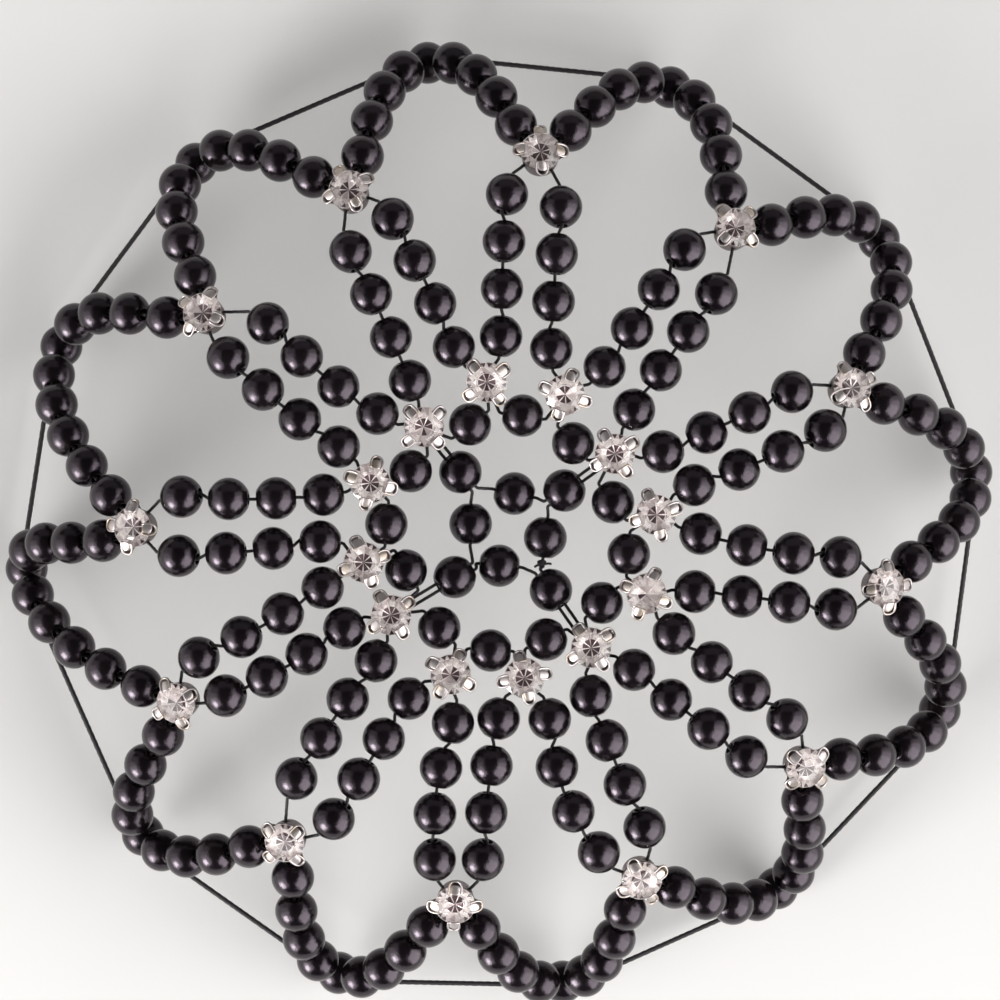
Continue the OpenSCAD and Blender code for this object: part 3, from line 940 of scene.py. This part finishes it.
# table, crown and girdle
def addCrown(heap, seat, shape):
    r = shape["radius"]
    facets = shape["facets"]
    around = 2 * facets
    rings = [
        (facets, 0, r * shape["tableShare"], shape["tableHeight"]),
        (facets, 180 / facets, r * shape["waistShare"], shape["waistHeight"]),
        (around, 0, r, shape["girdleHigh"]),
        (around, 0, r, shape["girdleLow"]),
    ]
    corners = []
    firsts = []
    for count, turn, radius, z in rings:
        firsts.append(len(corners))
        corners += [seatPolar(seat, radius, 360 * i / count + turn, z) for i in range(count)]
    table, waist, upper, lower = firsts
    crown = [[table + i for i in range(facets)]]
    for i in range(facets):
        first, second, third = (upper + (2 * i + j) % around for j in range(3))
        crown.append((table + i, waist + i, table + (i + 1) % facets))
        crown.append((table + i, waist + (i - 1) % facets, first, waist + i))
        crown.append((waist + i, first, second))
        crown.append((waist + i, second, third))
    for i in range(around):
        n = (i + 1) % around
        crown.append((upper + i, lower + i, lower + n, upper + n))
    heap.add(corners, crown, stoneMarks["glass"])


def addStone(heap, seat, shape, pattern, rng):
    twist = Matrix.Rotation(math.radians(shape["turn"] * rng.uniform(-1, 1)), 3, "Z")
    seat = {"origin": seat["origin"], "stand": seat["stand"] @ twist}
    addCrown(heap, seat, shape)
    r = shape["radius"]
    depth = shape["girdleLow"] - shape["backHeight"]
    flat, triangles, shades = pattern
    back = []
    for place in flat:
        share = min(place.length, 1)
        z = shape["backHeight"] + depth * share ** shape["backCurve"]
        if shape["evenShare"] < share < 1 - shape["evenShare"]:
            z += rng.uniform(-1, 1) * shape["uneven"]
        back.append(seatWorld(seat, place.x * r, place.y * r, z))
    heap.add(back, triangles)
    # painted shade: each stone's dark facets and some light ones get dimmer or dark foil
    darkShare = rng.uniform(*shape["darkShare"])
    stayDark = [rng.random() < darkShare for i in range(shape["darkFacets"])]
    marks = []
    for shade in shades:
        light = "soft" if rng.random() < shape["paintedDimShare"] else "foil"
        if shade is None:
            marks.append(stoneMarks[light])
        else:
            marks.append(stoneMarks["shade" if stayDark[shade] else "soft"])
    heap.marks[-len(triangles):] = marks


def makeStones(kind, seats, rng):
    pattern = backPattern(stoneShape)
    for k, seat in enumerate(seats, 1):
        heap = Heap()
        addStone(heap, seat, stoneShape, pattern, rng)
        stone = heap.piece(f"{kind}Crystal_{k}", [glass, foil, foilPaintedShade, foilPaintedDim], smooth=False)
        fixNormals(stone, True)
        standFor(stone, f"{kind}_crystal_{k}")


makeStones("inner", innerSeats, rng)
makeStones("outer", outerSeats, rng)
print("crystals made:", len(innerSeats) + len(outerSeats))


# setting: a cup with a window for each thread, and four claws
cupLook = {
    "radius": 0.0018,
    "footRadius": 0.00145,
    "flare": 0.6,  # under 1, the wall widens most near its foot
    "sheet": 0.00018,
    "floor": -0.00115,
    "top": 0.00082,
    "around": 72,
    "up": 16,
    "windowHalf": 0.00034,  # half a window's height
    "windowDegrees": 12,  # half its width
    "hub": 0.00002,  # the pinhole left in the middle of the floor
    "floorInset": 0.5,  # where the floor ends in the wall, as a share of the sheet
    "floorFlat": 0.8,  # of its radius
    "floorEdge": 0.3,  # how far its rim is bent up, as a share of the sheet
}
# the darker silver marks the cup and the legs: tarnish and painted shade together
settingMarks = {"silver": 0, "tarnishAndShade": 1}
# leg, pad and wire as distance from the stone's axis, half width and height, in millimetres
clawLook = {
    "leg": [
        (1.72, 0.30, 0.30), (1.86, 0.30, 0.56), (2.08, 0.32, 0.80), (2.26, 0.36, 0.94), (2.37, 0.38, 1.06),
        (2.40, 0.34, 1.14),
    ],
    "pad": [
        (2.16, 0.20, 1.35), (2.11, 0.34, 1.38), (2.00, 0.42, 1.44), (1.84, 0.44, 1.53), (1.66, 0.44, 1.62),
        (1.50, 0.43, 1.70), (1.41, 0.40, 1.74), (1.38, 0.34, 1.75),
    ],
    "wire": [
        (1.40, 0.42, 1.75), (1.50, 0.50, 1.72), (1.70, 0.53, 1.63), (1.92, 0.54, 1.52), (2.14, 0.52, 1.41),
        (2.34, 0.42, 1.29), (2.46, 0.22, 1.20), (2.49, 0.0, 1.17),
    ],
    "aside": 0.09,  # how far a pad's outer end leans to one side, which leaves a slot on the other
    "asideShares": (0.3, 1.5),
    "swing": 4,  # no two claws stand alike: in degrees, and as a share of their size
    "unlike": 0.07,
    "sheet": 0.00012,
    "legCrown": 0.00004,
    "padCrown": 0.00009,  # how far the middle of a pad stands over its sides
    "columns": 8,
    "wireRadius": 0.00010,
    "step": 0.00011,
}


def cupRadius(look, z):
    share = np.clip((z - look["floor"]) / (look["top"] - look["floor"]), 0, 1)
    return look["footRadius"] + (look["radius"] - look["footRadius"]) * share ** look["flare"]


def addCup(heap, seat, windows, look):
    low, high, up, count = look["floor"], look["top"], look["up"], look["around"]
    levels = [low + (high - low) * i / up for i in range(up + 1)]
    corners = []
    for inset in (0, look["sheet"]):
        for z in levels:
            radius = cupRadius(look, z) - inset
            corners += [seatPolar(seat, radius, 360 * j / count, z) for j in range(count)]
    layer = len(levels) * count

    def isOpen(i, j):
        if i < 0 or i >= up:
            return True
        middle = (levels[i] + levels[i + 1]) / 2
        angle = 360 * (j % count + 0.5) / count
        return any(
            ((middle - height) / look["windowHalf"]) ** 2
            + (((angle - window + 180) % 360 - 180) / look["windowDegrees"]) ** 2 < 1
            for window, height in windows
        )

    faces = []
    for i in range(up):
        for j in range(count):
            if isOpen(i, j):
                continue
            n = (j + 1) % count
            a, b, c, d = i * count + j, i * count + n, (i + 1) * count + n, (i + 1) * count + j
            faces.append((a, b, c, d))
            faces.append((layer + a, layer + d, layer + c, layer + b))
            if isOpen(i - 1, j):
                faces.append((a, layer + a, layer + b, b))
            if isOpen(i + 1, j):
                faces.append((d, c, layer + c, layer + d))
            if isOpen(i, j - 1):
                faces.append((a, d, layer + d, layer + a))
            if isOpen(i, j + 1):
                faces.append((b, layer + b, layer + c, c))
    # the cup's wall in darker silver: tarnish and painted shade round and under the stone
    heap.add(corners, faces, settingMarks["tarnishAndShade"])
    addCupFloor(heap, seat, look)


def addCupFloor(heap, seat, look):
    low, sheet, hub, count = look["floor"], look["sheet"], look["hub"], look["around"]
    rim = look["footRadius"] - sheet * look["floorInset"]
    flat = rim * look["floorFlat"]
    edge = low + sheet * look["floorEdge"]
    outline = [(hub, low), (flat, low), (rim, edge), (rim, low + sheet), (hub, low + sheet)]
    corners = [seatPolar(seat, r, 360 * j / count, z) for r, z in outline for j in range(count)]
    # the cup's floor in darker silver: tarnish and painted shade under the stone
    heap.add(corners, closedRows(len(outline), count), settingMarks["tarnishAndShade"])


# bent sheet along rows of distance, half width and height, a little domed across its width
def addSheet(heap, place, rows, look, crown, lean, mark):
    rows = smoothPath([[v * mm for v in row] for row in rows], look["step"])
    span = rows[0][0] - rows[-1][0]
    width = look["columns"] + 1
    corners = []
    for i, (r, half, z) in enumerate(rows):
        before, after = rows[max(i - 1, 0)], rows[min(i + 1, len(rows) - 1)]
        along = Vector((after[0] - before[0], after[2] - before[2])).normalized()
        for lift in (1, 0):
            for j in range(width):
                u = 2 * j / look["columns"] - 1
                raised = look["sheet"] * (lift - 0.5) + crown * (1 - u * u)
                y = u * half + lean * (r - rows[-1][0]) / span
                corners.append(place(r + along.y * raised, y, z - along.x * raised))
    faces = []
    for i in range(len(rows) - 1):
        a = 2 * width * i
        b = a + 2 * width
        for j in range(look["columns"]):
            faces.append((a + j, b + j, b + j + 1, a + j + 1))
            faces.append((a + width + j, a + width + j + 1, b + width + j + 1, b + width + j))
        faces.append((a, a + width, b + width, b))
        faces.append((a + width - 1, b + width - 1, b + 2 * width - 1, a + 2 * width - 1))
    last = 2 * width * (len(rows) - 1)
    for j in range(look["columns"]):
        faces.append((j, j + 1, width + j + 1, width + j))
        faces.append((last + j, last + width + j, last + width + j + 1, last + j + 1))
    heap.add(corners, faces, mark)


# claw: a leg out from the cup, a domed pad on the stone's edge and a wire loop round the pad
def addClaw(heap, seat, angle, side, look, rng):
    swung = angle + math.radians(look["swing"]) * rng.uniform(-1, 1)
    c, s = math.cos(swung), math.sin(swung)
    wider = 1 + look["unlike"] * rng.uniform(-1, 1)
    bent = look["unlike"] * rng.uniform(-1, 1)
    lean = side * look["aside"] * rng.uniform(*look["asideShares"]) * mm

    def place(r, y, z):
        return seatWorld(seat, r * c - y * wider * s, r * s + y * wider * c, z + y * bent)

    # the leg in darker silver: tarnish and painted shade under the pad
    addSheet(heap, place, look["leg"], look, look["legCrown"], 0, settingMarks["tarnishAndShade"])
    addSheet(heap, place, look["pad"], look, look["padCrown"], lean, settingMarks["silver"])
    half = look["wire"]
    wire = half + [(r, -y, z) for r, y, z in half[-2::-1]]
    route = smoothPath([[v * mm for v in row] for row in wire], look["step"])
    addTube(heap, [place(*p) for p in route], look["wireRadius"])


# where the threads cross a cup's wall, as degrees round it and heights
def threadWindows(seat, look):
    stand = np.array(seat["stand"])
    origin = np.array(seat["origin"])
    windows = []
    for points in laidThreads:
        local = (points - origin) @ stand
        fromAxis = np.hypot(local[:, 0], local[:, 1])
        inside = (fromAxis < cupRadius(look, local[:, 2])) & (abs(local[:, 2]) < -look["floor"])
        for i in np.nonzero(inside != np.roll(inside, 1))[0]:
            x, y, z = (local[i] + local[i - 1]) / 2
            windows.append((math.degrees(math.atan2(y, x)), z))
    return windows


def makeSettings(kind, seats, rng):
    heap = Heap()
    for seat in seats:
        addCup(heap, seat, threadWindows(seat, cupLook), cupLook)
        for i in range(claws):
            addClaw(heap, seat, 2 * math.pi / claws * i, 1 if i % 2 else -1, clawLook, rng)
    settings = heap.piece(f"{kind}Settings", [silver, tarnishAndShade])
    fixNormals(settings)
    standFor(settings, f"{kind}_settings")


makeSettings("inner", innerSeats, rng)
makeSettings("outer", outerSeats, rng)
print("settings made")


# pale floor just under the lowest beads
floorSetup = {
    "half": 3.0,
    "gap": 0.0003,
    "colour": (0.62, 0.616, 0.61),
    "grain": 60,
    "grainShade": 0.985,
    "gloss": 0.8,
    "mirror": 0.2,
}


def addFloor(setup):
    half = setup["half"]
    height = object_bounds()[0].z - setup["gap"]
    corners = [(x, y, height) for x, y in ((-half, -half), (half, -half), (half, half), (-half, half))]
    mesh = bpy.data.meshes.new("studioFloor")
    mesh.from_pydata(corners, [], [(0, 1, 2, 3)])
    floor = bpy.data.objects.new("studioFloor", mesh)
    bpy.context.scene.collection.objects.link(floor)
    paper, tree, shader = newMaterial(
        "palePaper", Roughness=setup["gloss"], Specular_IOR_Level=setup["mirror"],
    )
    grain = addNoise(tree, setup["grain"])
    darker = tuple(setup["grainShade"] * v for v in setup["colour"])
    colour = addMix(tree, grain.outputs["Fac"], darker, setup["colour"])
    tree.links.new(colour, shader.inputs["Base Color"])
    mesh.materials.append(paper)
    floor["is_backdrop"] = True


addFloor(floorSetup)
print("floor laid")
